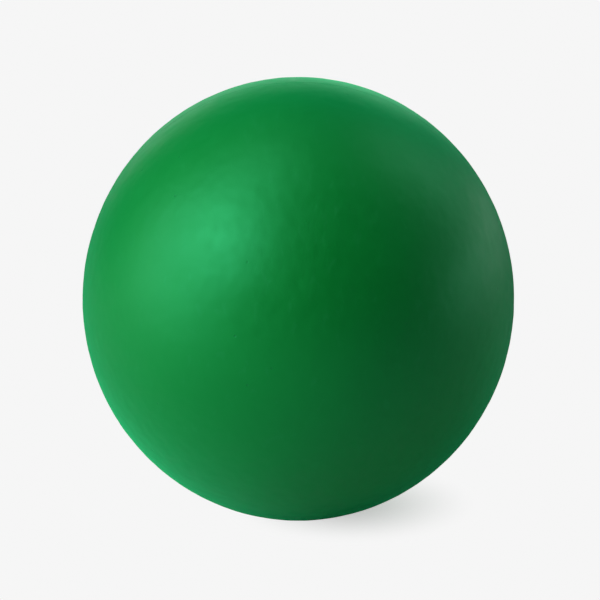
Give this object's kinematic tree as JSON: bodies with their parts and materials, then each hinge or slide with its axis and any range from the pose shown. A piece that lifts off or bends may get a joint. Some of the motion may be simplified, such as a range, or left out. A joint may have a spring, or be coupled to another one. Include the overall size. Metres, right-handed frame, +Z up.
{
  "type": "stress ball",
  "caption": "Plain soft foam ball with a satin coloured skin, for squeezing in one hand.",
  "frame": {"origin": "centre of the ball", "axes": "+Z up, along the ball's very slightly longer axis; the mould's parting plane is Y = 0, the front half of the skin is towards -Y and the rear half towards +Y; +X to the right seen from the front"},
  "size_m": [0.063, 0.063, 0.0649],
  "materials": {
    "skin_coat": "satin",
    "foam": "matte"
  },
  "bodies": {
    "palm_side": {"foam_core": "foam", "rear_skin": "skin_coat"},
    "finger_side": {"front_skin": "skin_coat"}
  },
  "joints": [
    {"name": "squeeze", "type": "slide", "parent": "palm_side", "child": "finger_side", "axis": [0, 1, 0], "range_m": [0, 0.025], "stiffness_N_per_m": 3500, "deforming": ["foam_core", "rear_skin", "front_skin"]}
  ]
}
